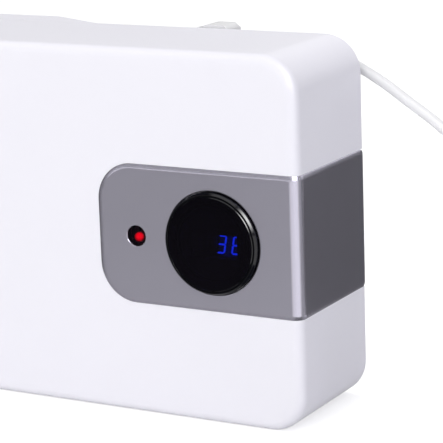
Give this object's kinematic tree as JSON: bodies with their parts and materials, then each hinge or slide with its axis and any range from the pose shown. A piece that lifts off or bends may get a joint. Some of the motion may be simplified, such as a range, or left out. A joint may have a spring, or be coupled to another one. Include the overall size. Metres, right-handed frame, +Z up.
{
  "type": "wall thermostat",
  "caption": "Corded wall thermostat: deep white housing, silver control band, turn-and-press dial with a read-out, wall bracket and mains lead.",
  "frame": {"origin": "on the surface that the housing stands on, under the middle of the body's box without its lead", "axes": "+X to the right seen from the front, +Y from the dial to the wall, +Z up"},
  "size_m": [0.3898, 0.1274, 0.1814],
  "materials": {
    "white_shell": "satin moulded ABS",
    "silver_band": "satin silver lacquer on plastic",
    "black_gloss": "polished black",
    "black_plastic": "matt black",
    "smoked_window": "smoked clear plastic, gloss",
    "tinted_lens": "dark tinted clear plastic",
    "red_led": "diffused red epoxy, lit",
    "blue_light": "lit blue segments",
    "dark_segment": "unlit segments",
    "steel": "zinc plated",
    "bracket_steel": "zinc plated sheet",
    "circuit_board": "green solder mask",
    "core_steel": "varnished laminations",
    "winding": "yellow tape over winding",
    "relay_case": "blue case",
    "fuse_glass": "clear glass with metal caps",
    "blue_epoxy": "dipped epoxy",
    "yellow_case": "moulded yellow case",
    "can_sleeve": "shrink sleeve",
    "terminal_green": "moulded polyamide",
    "cream_plastic": "natural nylon",
    "ribbon": "flat ribbon lead",
    "wire_brown": "brown insulation",
    "wire_blue": "blue insulation",
    "white_pvc": "white flexible sheath",
    "grey_plastic": "light grey moulding",
    "pin_metal": "nickelled brass",
    "tie_black": "paper and wire twist tie"
  },
  "bodies": {
    "housing": {"front_cover": "white_shell", "control_band": "silver_band", "back_plate": "white_shell", "wall_bracket": "bracket_steel", "bracket_screw": "steel", "case_screws": "steel", "indicator_lens": "tinted_lens", "indicator_led": "red_led", "led_holder": "black_plastic", "dial_springs": "steel", "press_switch": "black_plastic", "ribbon_socket": "cream_plastic", "control_board": "circuit_board", "control_board_screws": "steel", "control_chips": "black_plastic", "buzzer": "black_plastic", "power_board": "circuit_board", "power_board_screws": "steel", "transformer_core": "core_steel", "transformer_bobbin": "winding", "relay": "relay_case", "fuse_holder": "black_plastic", "fuse_tube": "fuse_glass", "varistor": "blue_epoxy", "line_filter_capacitor": "yellow_case", "smoothing_capacitors": "can_sleeve", "mains_terminal": "terminal_green", "load_terminal": "terminal_green", "terminal_screws": "steel", "board_link": "ribbon", "sensor_board": "circuit_board", "room_sensor": "black_plastic", "load_gland": "grey_plastic", "gland_nut": "grey_plastic", "live_wire": "wire_brown", "neutral_wire": "wire_blue", "inner_lead": "white_pvc", "cord_anchor": "grey_plastic", "anchor_screws": "steel", "strain_relief": "white_pvc", "mains_cord": "white_pvc", "cord_coil": "white_pvc", "cord_tail": "white_pvc", "cord_tie": "tie_black", "mains_plug": "white_pvc", "plug_pins": "pin_metal"},
    "press": {"dial_window": "smoked_window", "dial_carriage": "black_plastic", "display_bezel": "black_plastic", "display_board": "circuit_board", "digit_module": "black_plastic", "lit_segments": "blue_light", "unlit_segments": "dark_segment", "hall_sensors": "black_plastic", "display_ribbon": "ribbon", "switch_plunger": "cream_plastic"},
    "ring": {"dial_ring": "black_gloss", "ring_magnets": "steel"}
  },
  "joints": [
    {"name": "dial_press", "type": "slide", "parent": "housing", "child": "press", "axis": [0, 1, 0], "range_m": [0, 0.0008], "stiffness_N_per_m": 2000, "springref_m": -0.002, "deforming": ["dial_springs"]},
    {"name": "dial_turn", "type": "hinge", "parent": "press", "child": "ring", "pos_m": [0.0797, -0.0415, 0.0895], "axis": [0, -1, 0], "continuous": true}
  ]
}
